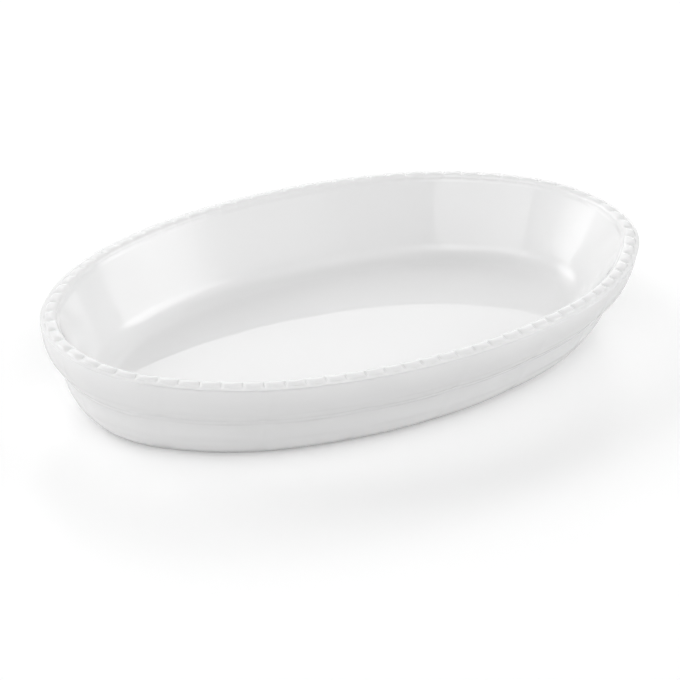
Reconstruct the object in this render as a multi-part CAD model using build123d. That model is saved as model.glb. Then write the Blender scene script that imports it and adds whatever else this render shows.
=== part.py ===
from build123d import *
import math
import os

# An oval gratin dish, fired in one piece: a flat floor on a low foot ring, a flared wall in two
# convex bands with a small lip between them, and a rim that carries a row of beads on a thin ledge.
# Origin: middle of the footprint, on the surface that the dish stands on. +X runs along its length.
# Every level of the wall is set off from the rim's oval by an inset, measured square to the rim.

# The plan of the rim and the whole height
rim_length = 340.0
rim_width = 200.0
bead_top = 50.0

# The oval is drawn with tangent arcs: one at each end, one at each shoulder, one along each side.
# The turns in degrees are where one arc hands over to the next.
end_turn = 43.7
side_turn = 72.5
shoulder_radius_share = 1.143

# The outside of the wall, from the foot up
foot_inset = 25.2
foot_edge_round = 1.5
band_top = 23.2
band_top_inset = 12.0
band_bulge = 2.6
lip_rise = 0.9
lip_reach = 0.4
upper_bulge = 2.3

# The beads along the rim, each widest and highest in its middle
bead_count = 82
bead_height = 1.3
bead_width = 5.6
bead_end_height = 0.4
bead_gap = 0.3
bead_root = 0.4

# The rim's ledge, which carries the beads and stands proud of the wall all round
ledge_plain_width = 2.0
ledge_thickness = 0.7
ledge_edge_round = 0.3
ledge_overhang = 0.3
ledge_flare = 0.3
ledge_top = bead_top - bead_height
ledge_underside = ledge_top - ledge_thickness
bead_centre_inset = ledge_plain_width + bead_width / 2

# The inside: the wall starts behind the beads and runs down to a rounded floor
mouth_land = 0.1
mouth_round = 0.6
inner_slope_inset = 19.0
floor_thickness = 6.7
floor_fillet = 15.0
mouth_inset = ledge_plain_width + bead_width + mouth_land + mouth_round

# The foot ring and the recess inside it
foot_ring_width = 5.0
recess_depth = 4.0
recess_draft = 1.5
floor_level = recess_depth + floor_thickness


def oval_arcs():
    """The rim's arcs, anticlockwise from the +X end: (centre x, centre y, radius, start, turn)."""
    half_length, half_width = rim_length / 2, rim_width / 2
    shoulder = shoulder_radius_share * math.sqrt(half_length * half_width)
    end_cos, end_sin = math.cos(math.radians(end_turn)), math.sin(math.radians(end_turn))
    side_cos, side_sin = math.cos(math.radians(side_turn)), math.sin(math.radians(side_turn))
    # What the end and side arcs have left to reach along each axis gives their two radii
    reach_x = half_length - shoulder * (end_cos - side_cos)
    reach_y = half_width - shoulder * (side_sin - end_sin)
    scale = (1 - end_cos) * (1 - side_sin) - side_cos * end_sin
    end = (reach_x * (1 - side_sin) - reach_y * side_cos) / scale
    side = (reach_y * (1 - end_cos) - reach_x * end_sin) / scale
    end_x = half_length - end
    side_y = half_width - side
    shoulder_x = end_x + (end - shoulder) * end_cos
    shoulder_y = (end - shoulder) * end_sin
    middle_turn = side_turn - end_turn
    side_span = 2 * (90 - side_turn)
    return [
        (end_x, 0, end, -end_turn, 2 * end_turn),
        (shoulder_x, shoulder_y, shoulder, end_turn, middle_turn),
        (0, side_y, side, side_turn, side_span),
        (-shoulder_x, shoulder_y, shoulder, 180 - side_turn, middle_turn),
        (-end_x, 0, end, 180 - end_turn, 2 * end_turn),
        (-shoulder_x, -shoulder_y, shoulder, 180 + end_turn, middle_turn),
        (0, -side_y, side, 180 + side_turn, side_span),
        (shoulder_x, -shoulder_y, shoulder, 360 - side_turn, middle_turn),
    ]


def on_arc(arc, inset, heading):
    """The point at a heading in degrees on an arc of the oval, set in from the rim."""
    centre_x, centre_y, radius, start, turn = arc
    along, across = math.cos(math.radians(heading)), math.sin(math.radians(heading))
    return centre_x + (radius - inset) * along, centre_y + (radius - inset) * across


def bowed_middle(low, high, bulge):
    """The middle point of a convex band between two (inset, level) points."""
    run, rise = high[0] - low[0], high[1] - low[1]
    span = math.hypot(run, rise)
    middle = ((low[0] + high[0]) / 2, (low[1] + high[1]) / 2)
    return middle[0] - bulge * rise / span, middle[1] + bulge * run / span


def wall_lean():
    """How far the inside of the wall leans out from upright."""
    return math.atan2(inner_slope_inset, ledge_top - floor_level)


def floor_edge_inset():
    """Where the fillet inside the dish meets the flat floor."""
    half_bend = (math.pi / 2 - wall_lean()) / 2
    return mouth_inset + inner_slope_inset + floor_fillet * math.tan(half_bend)


def wall_section(arc):
    """The section of the wall, foot ring and rim, standing at the start of one arc of the oval."""
    centre_x, centre_y, radius, start, turn = arc
    heading = math.radians(start)
    out = Vector(math.cos(heading), math.sin(heading), 0)
    plane = Plane(origin=(centre_x, centre_y, 0), x_dir=out, z_dir=out.cross(Vector(0, 0, 1)))
    ring_inner = foot_inset + foot_ring_width
    foot_edge = (foot_inset, foot_edge_round)
    band_end = (band_top_inset, band_top)
    lip_end = (band_top_inset - lip_reach, band_top + lip_rise)
    upper_end = (ledge_overhang, ledge_underside - ledge_flare)
    lean = wall_lean()
    floor_edge = floor_edge_inset()
    fillet_low = (floor_edge, floor_level)
    bend = math.pi / 2 - lean
    fillet_high = (floor_edge - floor_fillet * math.sin(bend),
                   floor_level + floor_fillet * (1 - math.cos(bend)))
    fillet_middle = (floor_edge - floor_fillet * math.sin(bend / 2),
                     floor_level + floor_fillet * (1 - math.cos(bend / 2)))
    mouth_low = (mouth_inset + mouth_round * math.tan(lean), ledge_top - mouth_round)

    def at(place):
        return radius - place[0], place[1]

    with BuildSketch(plane) as section:
        with BuildLine():
            Polyline(at((floor_edge, recess_depth)), at((ring_inner + recess_draft, recess_depth)),
                     at((ring_inner, 0)), at((foot_inset + foot_edge_round, 0)), at(foot_edge))
            ThreePointArc(at(foot_edge), at(bowed_middle(foot_edge, band_end, band_bulge)), at(band_end))
            Line(at(band_end), at(lip_end))
            ThreePointArc(at(lip_end), at(bowed_middle(lip_end, upper_end, upper_bulge)), at(upper_end))
            Polyline(at(upper_end), at((0, ledge_underside)), at((0, ledge_top - ledge_edge_round)),
                     at((ledge_edge_round, ledge_top)), at((mouth_inset - mouth_round, ledge_top)),
                     at(mouth_low), at(fillet_high))
            ThreePointArc(at(fillet_high), at(fillet_middle), at(fillet_low))
            Line(at(fillet_low), at((floor_edge, recess_depth)))
        make_face()
    return section.sketch


def wall():
    """The wall, foot ring and rim: one section swung round each arc of the oval in turn."""
    parts = []
    for arc in oval_arcs():
        centre_x, centre_y, radius, start, turn = arc
        axis = Axis((centre_x, centre_y, 0), (0, 0, 1))
        parts.append(revolve(wall_section(arc), axis, turn))
    return parts


def floor():
    """The flat of the floor, inside the fillet."""
    inset = floor_edge_inset()
    edges = []
    for arc in oval_arcs():
        centre_x, centre_y, radius, start, turn = arc
        stops = [on_arc(arc, inset, start + turn * step / 2) for step in range(3)]
        edges.append(Edge.make_three_point_arc(*[Vector(x, y, recess_depth) for x, y in stops]))
    return extrude(Face(Wire(edges)), floor_level - recess_depth, dir=(0, 0, 1))


def arched_bar(plane, length, end_height, reach):
    """A bar with an arched top over the length, drawn on the plane and run both ways by the reach."""
    half = length / 2
    with BuildSketch(plane) as section:
        with BuildLine():
            ThreePointArc((-half, end_height), (0, bead_height), (half, end_height))
            Polyline((half, end_height), (half, -bead_root), (-half, -bead_root), (-half, end_height))
        make_face()
    return extrude(section.sketch, reach, both=True)


def bead():
    """One bead, lying along X with the ledge at level zero: arched along the rim and across it."""
    length = bead_line_length() / bead_count - bead_gap
    along = arched_bar(Plane.XZ, length, bead_end_height, bead_width)
    across = arched_bar(Plane.YZ, bead_width, 0, length)
    return along & across


def bead_line_length():
    """The length of the oval line that the beads' middles lie on."""
    return sum((radius - bead_centre_inset) * math.radians(turn) for x, y, radius, start, turn in oval_arcs())


def bead_locations():
    """The beads' places, at equal steps along their line, with a bead's edge at the +X tip."""
    pitch = bead_line_length() / bead_count
    arcs = oval_arcs()
    first_half = (arcs[0][2] - bead_centre_inset) * math.radians(end_turn)
    locations = []
    for index in range(bead_count):
        ahead = (index + 1 / 2) * pitch + first_half
        ahead %= bead_line_length()
        for arc in arcs:
            centre_x, centre_y, radius, start, turn = arc
            length = (radius - bead_centre_inset) * math.radians(turn)
            if ahead <= length:
                break
            ahead -= length
        heading = start + math.degrees(ahead / (radius - bead_centre_inset))
        x, y = on_arc(arc, bead_centre_inset, heading)
        locations.append(Location((x, y, ledge_top), (0, 0, heading + 90)))
    return locations


def dish():
    """The whole dish."""
    parts = wall()
    body = parts[0].fuse(*parts[1:], floor())
    one_bead = bead()
    beads = [one_bead.moved(location) for location in bead_locations()]
    return body.fuse(*beads)


def main():
    os.makedirs("parts", exist_ok=True)
    body = dish()
    body.label = "dish_body"
    export_step(body, "parts/dish_body.step")


main()
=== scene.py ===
import bpy
import math
from mathutils import Matrix, Vector


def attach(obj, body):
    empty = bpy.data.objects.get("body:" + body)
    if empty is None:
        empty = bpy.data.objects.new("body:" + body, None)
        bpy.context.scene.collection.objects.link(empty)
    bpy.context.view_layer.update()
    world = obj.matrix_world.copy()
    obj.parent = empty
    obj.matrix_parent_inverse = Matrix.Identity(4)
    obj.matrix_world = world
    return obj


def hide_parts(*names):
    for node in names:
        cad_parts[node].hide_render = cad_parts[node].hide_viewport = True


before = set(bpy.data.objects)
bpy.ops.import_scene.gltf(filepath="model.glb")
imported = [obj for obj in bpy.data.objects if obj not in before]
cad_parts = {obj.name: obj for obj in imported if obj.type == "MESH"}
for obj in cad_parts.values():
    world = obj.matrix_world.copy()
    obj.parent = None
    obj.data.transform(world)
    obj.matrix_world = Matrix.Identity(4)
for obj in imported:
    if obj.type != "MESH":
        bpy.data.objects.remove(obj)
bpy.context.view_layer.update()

# The dish's plan: the oval that the rim, the wall and the floor are all set off from. Real thing:
# a plaster mould turned to an oval of tangent arcs, 340 mm by 200 mm at the rim, in which the
# whole dish is pressed in one piece.
mm = 0.001
rim_length, rim_width = 340.0, 200.0
end_turn, side_turn = math.radians(43.7), math.radians(72.5)
shoulder_radius_share = 1.143
shoulder_radius = shoulder_radius_share * math.sqrt(rim_length / 2 * rim_width / 2)


def rim_arcs():
    """The rim's eight arcs, anticlockwise from the +X end: centre x, centre y, radius, start, turn."""
    end_cos, end_sin = math.cos(end_turn), math.sin(end_turn)
    side_cos, side_sin = math.cos(side_turn), math.sin(side_turn)
    reach_x = rim_length / 2 - shoulder_radius * (end_cos - side_cos)
    reach_y = rim_width / 2 - shoulder_radius * (side_sin - end_sin)
    scale = (1 - end_cos) * (1 - side_sin) - side_cos * end_sin
    end = (reach_x * (1 - side_sin) - reach_y * side_cos) / scale
    side = (reach_y * (1 - end_cos) - reach_x * end_sin) / scale
    end_x, side_y = rim_length / 2 - end, rim_width / 2 - side
    shoulder_x = end_x + (end - shoulder_radius) * end_cos
    shoulder_y = (end - shoulder_radius) * end_sin
    middle, span = side_turn - end_turn, math.pi - 2 * side_turn
    half_turn = math.pi
    return [
        (end_x, 0, end, -end_turn, 2 * end_turn),
        (shoulder_x, shoulder_y, shoulder_radius, end_turn, middle),
        (0, side_y, side, side_turn, span),
        (-shoulder_x, shoulder_y, shoulder_radius, half_turn - side_turn, middle),
        (-end_x, 0, end, half_turn - end_turn, 2 * end_turn),
        (-shoulder_x, -shoulder_y, shoulder_radius, half_turn + end_turn, middle),
        (0, -side_y, side, half_turn + side_turn, span),
        (shoulder_x, -shoulder_y, shoulder_radius, 2 * half_turn - side_turn, middle),
    ]


def rim_stations(line_inset, shares):
    """Centre, radius and heading at each share of the way round the line at that inset, from +X."""
    arcs = rim_arcs()
    lengths = [(radius - line_inset) * turn for x, y, radius, start, turn in arcs]
    found = []
    for share in shares:
        ahead = (share * sum(lengths) + lengths[0] / 2) % sum(lengths)
        for arc, length in zip(arcs, lengths):
            if ahead <= length:
                break
            ahead -= length
        x, y, radius, start, turn = arc
        heading = start + ahead / (radius - line_inset)
        found.append((x, y, radius, math.cos(heading), math.sin(heading)))
    return found


# The dish's section, from the middle of the underside, up the outside, over the rim and down
# inside. Real thing: glazed porcelain about 7 mm thick; the foot ring is wiped bare of glaze, and
# the two outer bands meet in a small lip. Each place is (inset from the rim, level) in millimetres.
floor_level, ledge_level = 10.7, 48.7
mouth_inset, wall_slope = 8.3, 19.0 / 38.0
floor_fillet, fillet_steps = 15.0, 14
band_top, upper_band_height = 23.2, 24.6


def rounded(corner, before, after, radius, steps):
    """Places round a corner between its two neighbours, as a curve that starts a radius away."""
    def towards(place):
        gap = math.hypot(place[0] - corner[0], place[1] - corner[1])
        share = min(radius / gap, 0.5)
        return corner[0] + (place[0] - corner[0]) * share, corner[1] + (place[1] - corner[1]) * share
    start, end = towards(before), towards(after)
    places = []
    for step in range(steps + 1):
        s = step / steps
        first, second, third = (1 - s) ** 2, 2 * s * (1 - s), s ** 2
        places.append(tuple(first * start[i] + second * corner[i] + third * end[i] for i in (0, 1)))
    return places


def smooth(places, steps=2):
    """Places along a smooth curve through the given ones, the first and last kept."""
    path = []
    for index in range(len(places) - 1):
        before, start = places[max(index - 1, 0)], places[index]
        end, after = places[index + 1], places[min(index + 2, len(places) - 1)]
        for step in range(steps):
            s = step / steps
            path.append(tuple(
                0.5 * (2 * start[i] + (end[i] - before[i]) * s
                       + (2 * before[i] - 5 * start[i] + 4 * end[i] - after[i]) * s ** 2
                       + (3 * start[i] - before[i] - 3 * end[i] + after[i]) * s ** 3)
                for i in (0, 1)))
    return path + [places[-1]]


# A row is (place between two beads, place at a bead's middle, band share, bare share). The band
# share runs 0 to 1 up the lower band and 1 to 2 up the upper one, and is -1 elsewhere. The bare
# share is 1 where the foot ring has no glaze.
rows = []


def plain_rows(places, bands=None, bare=0.0):
    """Rows that run the same past a bead's middle as between two beads."""
    for index, place in enumerate(places):
        rows.append((place, place, bands[index] if bands else -1.0, bare))


recess_edge = [(33.2, 4.0), (32.2, 4.0), (31.6, 3.7)]
recess_wall = [(31.0, 2.2), (30.5, 0.8)]
ring_inner, ring_inner_round = (30.3, 0.0), 0.5
ring_outer, ring_outer_round = (25.9, 0.0), 1.6
plain_rows(recess_edge)
dense_from = len(rows)
plain_rows(recess_wall)
plain_rows(rounded(ring_inner, (30.6, 1.0), (28.0, 0.0), ring_inner_round, 2), bare=1.0)
plain_rows([(28.6, 0.0)], bare=1.0)
plain_rows(rounded(ring_outer, (28.2, 0.0), (24.3, 2.0), ring_outer_round, 5))

# The lower band, the lip on it, and the upper band, whose lower strand is the narrower one
lower_band = smooth([
    (24.0, 1.9), (22.5, 3.2), (19.7, 6.0), (17.4, 9.0), (15.5, 12.0), (14.1, 15.0), (13.1, 18.0),
    (12.4, 20.4), (11.98, 22.2),
])[1:]
lip = [(11.85, 22.8), (11.72, 23.3)]
upper_band = smooth([
    (11.62, 23.6), (11.45, 24.0), (11.1, 24.65), (10.5, 25.55), (9.7, 26.5), (7.4, 28.7), (5.2, 31.6),
    (3.8, 34.0), (2.6, 37.0), (1.5, 40.3), (0.8, 43.2), (0.35, 46.0), (0.25, 47.6),
])
upper_strand_power = 0.6
plain_rows(lower_band, [level / band_top for inset, level in lower_band])
plain_rows(lip, [0.98, 1.0])
plain_rows(upper_band, [1 + ((level - band_top) / upper_band_height) ** upper_strand_power
                        for inset, level in upper_band])

# The ledge's rounded edge, which stands proud of the upper band
ledge_edge = [
    (0.42, 47.85), (0.42, 48.0), (0.2, 48.04), (0.02, 48.12), (0.0, 48.22), (0.07, 48.34),
    (0.25, 48.44), (0.6, 48.55), (1.2, 48.66),
]
plain_rows(ledge_edge)

# The beads: half rounds on the ledge, full at a bead's middle and cut away between two. A bead's
# outer and inner half each have a reach, the level that they stand on and a rise.
bead_count = 82
bead_line_inset = 4.9
outer_half, inner_half = (3.1, ledge_level, 1.3), (3.35, 47.6, 2.4)
first_angle_share = 0.02
between_beads = smooth([
    (1.9, 48.68), (2.8, 48.55), (3.7, 48.55), (4.6, 48.7), (5.45, 49.0), (6.2, 49.28), (6.9, 49.33),
    (7.5, 49.0), (7.9, 48.3), (8.25, 47.6),
])
bead_steps = len(between_beads) - 1
for step in range(bead_steps + 1):
    angle = math.pi * (first_angle_share + (1 - first_angle_share) * step / bead_steps)
    reach, foot, rise = outer_half if angle < math.pi / 2 else inner_half
    crest = (bead_line_inset - reach * math.cos(angle), foot + rise * math.sin(angle))
    rows.append((between_beads[step], crest, -1.0, 0.0))


def inner_wall(level):
    """The place at a level on the straight inside of the wall."""
    return mouth_inset + (ledge_level - level) * wall_slope, level


# The inside: the wall behind the beads, the fillet at its foot and the edge of the flat floor
mouth_levels, wall_levels = (46.9, 46.0), (44.0, 41.0, 37.0, 32.0, 27.0, 23.0)
floor_land = 5.0
plain_rows([inner_wall(level) for level in mouth_levels])
dense_to = len(rows)
plain_rows([inner_wall(level) for level in wall_levels])
bend = math.pi / 2 - math.atan(wall_slope)
floor_edge = inner_wall(floor_level)[0] + floor_fillet * math.tan(bend / 2)
for step in range(fillet_steps, -1, -1):
    turn = bend * step / fillet_steps
    plain_rows([(floor_edge - floor_fillet * math.sin(turn),
                 floor_level + floor_fillet * (1 - math.cos(turn)))])
plain_rows([(floor_edge + floor_land, floor_level)])

# The dish's plain body: the section swept round the oval, closed over the floor and under it. Real
# thing: the same piece, before its relief. Twelve columns a bead carry the relief, closest in the
# grooves between two beads; the inside and the underside, which are smooth, have one in six.
bead_columns = [0.0, 0.035, 0.085, 0.16, 0.26, 0.38, 0.5, 0.62, 0.74, 0.84, 0.915, 0.965]
shares = [(bead + column) / bead_count for bead in range(bead_count) for column in bead_columns]
stations = rim_stations(bead_line_inset, shares)
smooth_step = 6
vertices, faces, outward = [], [], []
point_values = {"around_share": [], "bead_out": [], "bead_up": [], "band_share": [], "bare_foot": []}


def add_point(place, direction, *values):
    """Adds a point with the values that the relief and the glaze read there, and gives its number."""
    vertices.append(place)
    outward.extend(direction)
    for listed, value in zip(point_values.values(), values):
        listed.append(value)
    return len(vertices) - 1


def face_side(row_start, place, span):
    """The points of a row along one face, at that place round the dish."""
    start, step = row_start
    count = len(stations) // step
    return [start + (place * span // step + ahead) % count for ahead in range(span // step + 1)]


row_starts = []
for index, (groove, crest, band_share, bare_share) in enumerate(rows):
    step = 1 if dense_from <= index < dense_to else smooth_step
    row_starts.append((len(vertices), step))
    for column in range(0, len(stations), step):
        x, y, radius, along, across = stations[column]
        reach = radius - groove[0]
        add_point(((x + reach * along) * mm, (y + reach * across) * mm, groove[1] * mm),
                  (along, across, 0.0), shares[column],
                  (groove[0] - crest[0]) * mm, (crest[1] - groove[1]) * mm, band_share, bare_share)
for low, high in zip(row_starts, row_starts[1:]):
    span = max(low[1], high[1])
    for place in range(len(stations) // span):
        faces.append(face_side(low, place, span) + face_side(high, place, span)[::-1])


def close_middle(start, level, turned):
    """Closes the space inside a row with rings that shrink to the middle."""
    count = len(stations) // smooth_step
    ring = list(range(start, start + count))
    edge = [vertices[number] for number in ring]
    for share in (0.8, 0.55, 0.3, 0.12):
        new_ring = [add_point((x * share, y * share, level * mm), (1.0, 0.0, 0.0), 0.0, 0.0, 0.0, -1.0, 0.0)
                    for x, y, z in edge]
        for place in range(count):
            after = (place + 1) % count
            quad = [ring[place], ring[after], new_ring[after], new_ring[place]]
            faces.append(quad[::-1] if turned else quad)
        ring = new_ring
    faces.append(ring[::-1] if turned else ring)


recess_level = recess_edge[0][1]
close_middle(row_starts[0][0], recess_level, True)
close_middle(row_starts[-1][0], floor_level, False)

dish_mesh = bpy.data.meshes.new("gratin_dish")
dish_mesh.from_pydata(vertices, [], faces)
for name, values in point_values.items():
    dish_mesh.attributes.new(name, "FLOAT", "POINT").data.foreach_set("value", values)
dish_mesh.attributes.new("outward", "FLOAT_VECTOR", "POINT").data.foreach_set("vector", outward)
dish_mesh.polygons.foreach_set("use_smooth", [True] * len(dish_mesh.polygons))
dish_mesh.update()
dish = bpy.data.objects.new("gratin_dish", dish_mesh)
bpy.context.scene.collection.objects.link(dish)

# The dish's glaze: a clear gloss glaze over white porcelain, with the foot ring wiped bare. Real
# thing: fired to a smooth skin with the faintest ripple, and a faint cloudiness in its white.
dull_white, bright_white = (0.845, 0.845, 0.845, 1), (0.874, 0.874, 0.875, 1)
bare_clay = (0.72, 0.70, 0.66, 1)
glaze_roughness, clay_roughness = 0.02, 0.6
ripple_strength, ripple_depth = 0.02, 0.001
glaze = bpy.data.materials.new("white_porcelain_glaze")
glaze.use_nodes = True
nodes, links = glaze.node_tree.nodes, glaze.node_tree.links
porcelain = nodes["Principled BSDF"]
porcelain.inputs["IOR"].default_value = 1.5
coordinates = nodes.new("ShaderNodeTexCoord")
cloud = nodes.new("ShaderNodeTexNoise")
cloud.inputs["Scale"].default_value = 14.0
cloud.inputs["Detail"].default_value = 2.0
links.new(coordinates.outputs["Object"], cloud.inputs["Vector"])
body_colour = nodes.new("ShaderNodeMix")
body_colour.data_type = "RGBA"
body_colour.inputs["A"].default_value = dull_white
body_colour.inputs["B"].default_value = bright_white
links.new(cloud.outputs["Fac"], body_colour.inputs["Factor"])
bare_ring = nodes.new("ShaderNodeAttribute")
bare_ring.attribute_name = "bare_foot"
ring_colour = nodes.new("ShaderNodeMix")
ring_colour.data_type = "RGBA"
ring_colour.inputs["B"].default_value = bare_clay
links.new(bare_ring.outputs["Fac"], ring_colour.inputs["Factor"])
links.new(body_colour.outputs["Result"], ring_colour.inputs["A"])
links.new(ring_colour.outputs["Result"], porcelain.inputs["Base Color"])
gloss = nodes.new("ShaderNodeMapRange")
gloss.inputs["To Min"].default_value = glaze_roughness
gloss.inputs["To Max"].default_value = clay_roughness
links.new(bare_ring.outputs["Fac"], gloss.inputs["Value"])
links.new(gloss.outputs["Result"], porcelain.inputs["Roughness"])
ripple = nodes.new("ShaderNodeTexNoise")
ripple.inputs["Scale"].default_value = 60.0
ripple.inputs["Detail"].default_value = 1.0
links.new(coordinates.outputs["Object"], ripple.inputs["Vector"])
skin = nodes.new("ShaderNodeBump")
skin.inputs["Strength"].default_value = ripple_strength
skin.inputs["Distance"].default_value = ripple_depth
links.new(ripple.outputs["Fac"], skin.inputs["Height"])
links.new(skin.outputs["Normal"], porcelain.inputs["Normal"])

# The dish's relief: 82 beads along the rim, and on each band two strands of basket work that are
# pinched at sixteen stations. Real thing: cut into the mould, so it repeats exactly round the rim.
# The tree lifts the plain body's points by these rules.
relief_sizes = (("Bead Count", 82.0), ("Bead Fullness", 1.0), ("Bead Roundness", 2.6),
                ("Bead Shoulder", 0.65), ("Panel Count", 16.0), ("Strand Depth", 0.0005))
strands_a_band, strand_roundness, panel_roundness = 2.0, 2.0, 2.5
relief = bpy.data.node_groups.new("beads_and_basket_bands", "GeometryNodeTree")
relief.is_modifier = True
sockets = relief.interface
sockets.new_socket("Geometry", in_out="INPUT", socket_type="NodeSocketGeometry")
sizes = {}
for name, value in relief_sizes:
    sizes[name] = sockets.new_socket(name, in_out="INPUT", socket_type="NodeSocketFloat")
    sizes[name].default_value = value
sockets.new_socket("Glaze", in_out="INPUT", socket_type="NodeSocketMaterial")
sockets.new_socket("Geometry", in_out="OUTPUT", socket_type="NodeSocketGeometry")
given = relief.nodes.new("NodeGroupInput")
result = relief.nodes.new("NodeGroupOutput")


def reading(name, kind="FLOAT"):
    """A named attribute of the plain body."""
    node = relief.nodes.new("GeometryNodeInputNamedAttribute")
    node.data_type = kind
    node.inputs["Name"].default_value = name
    return node.outputs["Attribute"]


def reckon(tree, operation, *values):
    """One step of arithmetic in a tree."""
    node = tree.nodes.new("ShaderNodeMath")
    node.operation = operation
    for place, value in enumerate(values):
        if isinstance(value, (int, float)):
            node.inputs[place].default_value = value
        else:
            tree.links.new(value, node.inputs[place])
    return node.outputs[0]


def scaled(vector, amount):
    """A vector times an amount."""
    node = relief.nodes.new("ShaderNodeVectorMath")
    node.operation = "SCALE"
    if isinstance(vector, tuple):
        node.inputs[0].default_value = vector
    else:
        relief.links.new(vector, node.inputs[0])
    relief.links.new(amount, node.inputs["Scale"])
    return node.outputs[0]


def added(first, second):
    """Two vectors added up."""
    node = relief.nodes.new("ShaderNodeVectorMath")
    node.operation = "ADD"
    relief.links.new(first, node.inputs[0])
    relief.links.new(second, node.inputs[1])
    return node.outputs[0]


def dome(turns, roundness):
    """One in the middle of each whole turn, falling to nothing at its ends."""
    doubled = reckon(relief, "MULTIPLY", reckon(relief, "FRACT", turns), 2.0)
    from_middle = reckon(relief, "ABSOLUTE", reckon(relief, "SUBTRACT", doubled, 1.0))
    return reckon(relief, "SUBTRACT", 1.0, reckon(relief, "POWER", from_middle, roundness))


turn_share = reading("around_share")
bead_turns = reckon(relief, "MULTIPLY", turn_share, given.outputs["Bead Count"])
bead_dome = reckon(relief, "MAXIMUM", dome(bead_turns, given.outputs["Bead Roundness"]), 0.0)
pillow = reckon(relief, "POWER", bead_dome, given.outputs["Bead Shoulder"])
pillow = reckon(relief, "MULTIPLY", pillow, given.outputs["Bead Fullness"])
bead_out = reckon(relief, "MULTIPLY", reading("bead_out"), pillow)
bead_up = reckon(relief, "MULTIPLY", reading("bead_up"), pillow)
bead_lift = added(scaled(reading("outward", "FLOAT_VECTOR"), bead_out), scaled((0.0, 0.0, 1.0), bead_up))
band_share = reading("band_share")
strand = dome(reckon(relief, "MULTIPLY", band_share, strands_a_band), strand_roundness)
panel_turns = reckon(relief, "MULTIPLY", turn_share, given.outputs["Panel Count"])
panel = dome(panel_turns, panel_roundness)
on_band = reckon(relief, "GREATER_THAN", band_share, -0.5)
depth = reckon(relief, "MULTIPLY", on_band, given.outputs["Strand Depth"])
strand_lift = reckon(relief, "MULTIPLY", reckon(relief, "MULTIPLY", strand, panel), depth)
normal = relief.nodes.new("GeometryNodeInputNormal")
lift = added(bead_lift, scaled(normal.outputs["Normal"], strand_lift))
move = relief.nodes.new("GeometryNodeSetPosition")
relief.links.new(given.outputs["Geometry"], move.inputs["Geometry"])
relief.links.new(lift, move.inputs["Offset"])
plain_mesh = relief.nodes.new("GeometryNodeRealizeInstances")
relief.links.new(move.outputs["Geometry"], plain_mesh.inputs["Geometry"])
glazed = relief.nodes.new("GeometryNodeSetMaterial")
relief.links.new(plain_mesh.outputs["Geometry"], glazed.inputs["Geometry"])
relief.links.new(given.outputs["Glaze"], glazed.inputs["Material"])
relief.links.new(glazed.outputs["Geometry"], result.inputs["Geometry"])

raising = dish.modifiers.new("relief", "NODES")
raising.node_group = relief
for socket in relief.interface.items_tree:
    if socket.in_out == "INPUT" and socket.name in sizes:
        raising[socket.identifier] = socket.default_value
    elif socket.in_out == "INPUT" and socket.name == "Glaze":
        raising[socket.identifier] = glaze
bpy.context.view_layer.update()
pressed = bpy.data.meshes.new_from_object(dish.evaluated_get(bpy.context.evaluated_depsgraph_get()))
dish.modifiers.remove(raising)
dish.data = pressed
pressed.name = "gratin_dish"
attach(dish, "root")
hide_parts("dish_body")

# The table under the dish: a wide sheet of smooth white paper. It shows as white to the camera and
# keeps the dish's soft shadow; its glow is weaker to all else, so that it lights the dish little.
half_sheet = 4.0
paper_white, paper_roughness = (0.8, 0.8, 0.8, 1), 0.3
glow_unseen, glow_seen = 0.069, 0.205
sheet_corners = [(-half_sheet, -half_sheet, 0), (half_sheet, -half_sheet, 0),
                 (half_sheet, half_sheet, 0), (-half_sheet, half_sheet, 0)]
sweep_mesh = bpy.data.meshes.new("white_sweep")
sweep_mesh.from_pydata(sheet_corners, [], [(0, 1, 2, 3)])
sweep = bpy.data.objects.new("white_sweep", sweep_mesh)
bpy.context.scene.collection.objects.link(sweep)
paper = bpy.data.materials.new("white_paper")
paper.use_nodes = True
nodes, links = paper.node_tree.nodes, paper.node_tree.links
matt = nodes["Principled BSDF"]
matt.inputs["Base Color"].default_value = paper_white
matt.inputs["Roughness"].default_value = paper_roughness
path = nodes.new("ShaderNodeLightPath")
glow = nodes.new("ShaderNodeMapRange")
glow.inputs["To Min"].default_value = glow_unseen
glow.inputs["To Max"].default_value = glow_seen
links.new(path.outputs["Is Camera Ray"], glow.inputs["Value"])
matt.inputs["Emission Color"].default_value = (1, 1, 1, 1)
links.new(glow.outputs["Result"], matt.inputs["Emission Strength"])
sweep_mesh.materials.append(paper)

# The room's light: soft panels all round the table, and a dark ceiling behind them. Real thing:
# white cloth and paper round a table, with studio boxes behind. The card over the camera and the
# cloth on the back wall have crisp edges, the others soft ones. The camera itself sees plain white.
world = bpy.data.worlds.new("white_room")
bpy.context.scene.world = world
world.use_nodes = True
sky = world.node_tree
room = sky.nodes["Background"]
room.inputs["Color"].default_value = (1, 1, 1, 1)


def soft_edge(distance, half_spread, softness):
    """One inside a panel's half spread, falling softly to nothing outside it."""
    node = sky.nodes.new("ShaderNodeMapRange")
    node.interpolation_type = "SMOOTHSTEP"
    node.inputs["From Min"].default_value = half_spread + softness
    node.inputs["From Max"].default_value = max(half_spread - softness, 0.0)
    sky.links.new(distance, node.inputs["Value"])
    return node.outputs["Result"]


direction = sky.nodes.new("ShaderNodeTexCoord")
axes = sky.nodes.new("ShaderNodeSeparateXYZ")
sky.links.new(direction.outputs["Generated"], axes.inputs[0])
heading = reckon(sky, "DEGREES", reckon(sky, "ARCTAN2", axes.outputs["Y"], axes.outputs["X"]))
height = reckon(sky, "DEGREES", reckon(sky, "ARCSINE", axes.outputs["Z"]))

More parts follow.
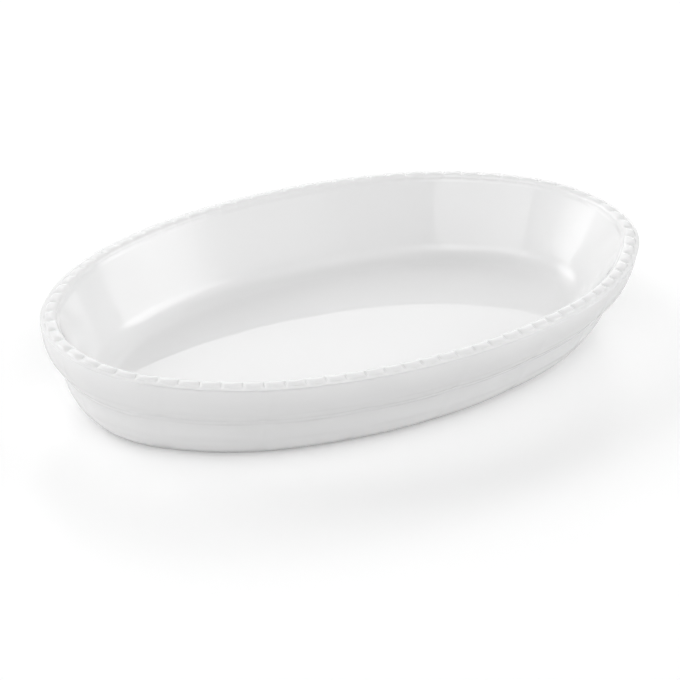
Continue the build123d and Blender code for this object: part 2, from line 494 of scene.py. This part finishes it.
# Name, heading from +X, height, half width, half height and softness, all in degrees, and strength
panels = [
    ("right_low_cloth", 15, 11, 45, 11, 9, 0.22),
    ("back_left_box", 152, 15, 20, 5, 6, 1.86),
    ("left_low_cloth", 155, 11, 45, 11, 9, 1.14),
    ("front_right_low", -45, 11, 30, 11, 8, 1.09),
    ("ring_of_cloth", 0, 34, 400, 12, 6, 0.38),
    ("back_left_high", 120, 35, 20, 10, 8, 3.08),
    ("front_right_box", -28, 24, 16, 11, 6, 2.98),
    ("back_cloth", 75, 32, 25, 10, 8, 0.64),
    ("card_over_camera", -129, 42, 24.5, 20, 0.8, 1.33),
    ("front_ceiling", -130, 60, 40, 12, 5, 1.60),
    ("front_middle_ceiling", -90, 58, 22, 12, 6, 1.16),
    ("left_ceiling", 180, 58, 22, 12, 6, 1.30),
    ("right_ceiling", -45, 58, 22, 12, 6, 0.86),
    ("back_wall_cloth", 45, 30, 80, 19, 1.2, 0.43),
    ("back_right_box", 51, 28, 15, 7, 3, 0.43),
    ("back_low_box", 58, 9, 24, 7, 5, 1.54),
    ("left_low_box", -172, 6, 24, 6, 6, 1.17),
    ("right_low_box", -8, 5, 22, 5, 6, 0.64),
    ("right_front_strip", -28, 9, 13, 5, 3, 0.58),
]
half_circle = 180.0
light = 0.0
for name, panel_heading, panel_height, half_width, half_height, softness, strength in panels:
    aside = reckon(sky, "WRAP", reckon(sky, "SUBTRACT", heading, panel_heading), half_circle, -half_circle)
    across = soft_edge(reckon(sky, "ABSOLUTE", aside), half_width, softness)
    above = reckon(sky, "SUBTRACT", height, panel_height)
    upward = soft_edge(reckon(sky, "ABSOLUTE", above), half_height, softness)
    shine = reckon(sky, "MULTIPLY", reckon(sky, "MULTIPLY", across, upward), strength)
    shine.node.name = name
    light = reckon(sky, "ADD", shine, light)
path = sky.nodes.new("ShaderNodeLightPath")
seen = sky.nodes.new("ShaderNodeMix")
sky.links.new(path.outputs["Is Camera Ray"], seen.inputs["Factor"])
sky.links.new(light, seen.inputs["A"])
seen.inputs["B"].default_value = 1.0
sky.links.new(seen.outputs["Result"], room.inputs["Strength"])

# The camera, at the photograph's angle: about 28 degrees up, from the front and left. Its place is
# measured from the dish's origin in half lengths of the dish.
elevation, azimuth, roll = math.radians(27.717), math.radians(-37.734), math.radians(3.8127)
lens_pixels, photo_pixels, sensor_width = 3679.985, 680, 36
half_length = rim_length / 2 * mm
lengths_back, lengths_right, lengths_up = 11.00983, -0.01297, 0.05565
back = Vector((math.sin(azimuth) * math.cos(elevation), -math.cos(azimuth) * math.cos(elevation),
               math.sin(elevation)))
right = Vector((math.cos(azimuth), math.sin(azimuth), 0))
up = back.cross(right)
tilted_right = math.cos(roll) * right + math.sin(roll) * up
tilted_up = math.cos(roll) * up - math.sin(roll) * right
camera_data = bpy.data.cameras.new("photo_view")
camera_data.sensor_width = sensor_width
camera_data.lens = lens_pixels / photo_pixels * sensor_width
camera_data.clip_end = 50
camera = bpy.data.objects.new("photo_view", camera_data)
place = half_length * (back * lengths_back + right * lengths_right + up * lengths_up)
turned = Matrix((tilted_right, tilted_up, back)).transposed().to_4x4()
camera.matrix_world = Matrix.Translation(place) @ turned
bpy.context.scene.collection.objects.link(camera)
bpy.context.scene.camera = camera

bpy.context.scene.view_settings.view_transform = "Standard"
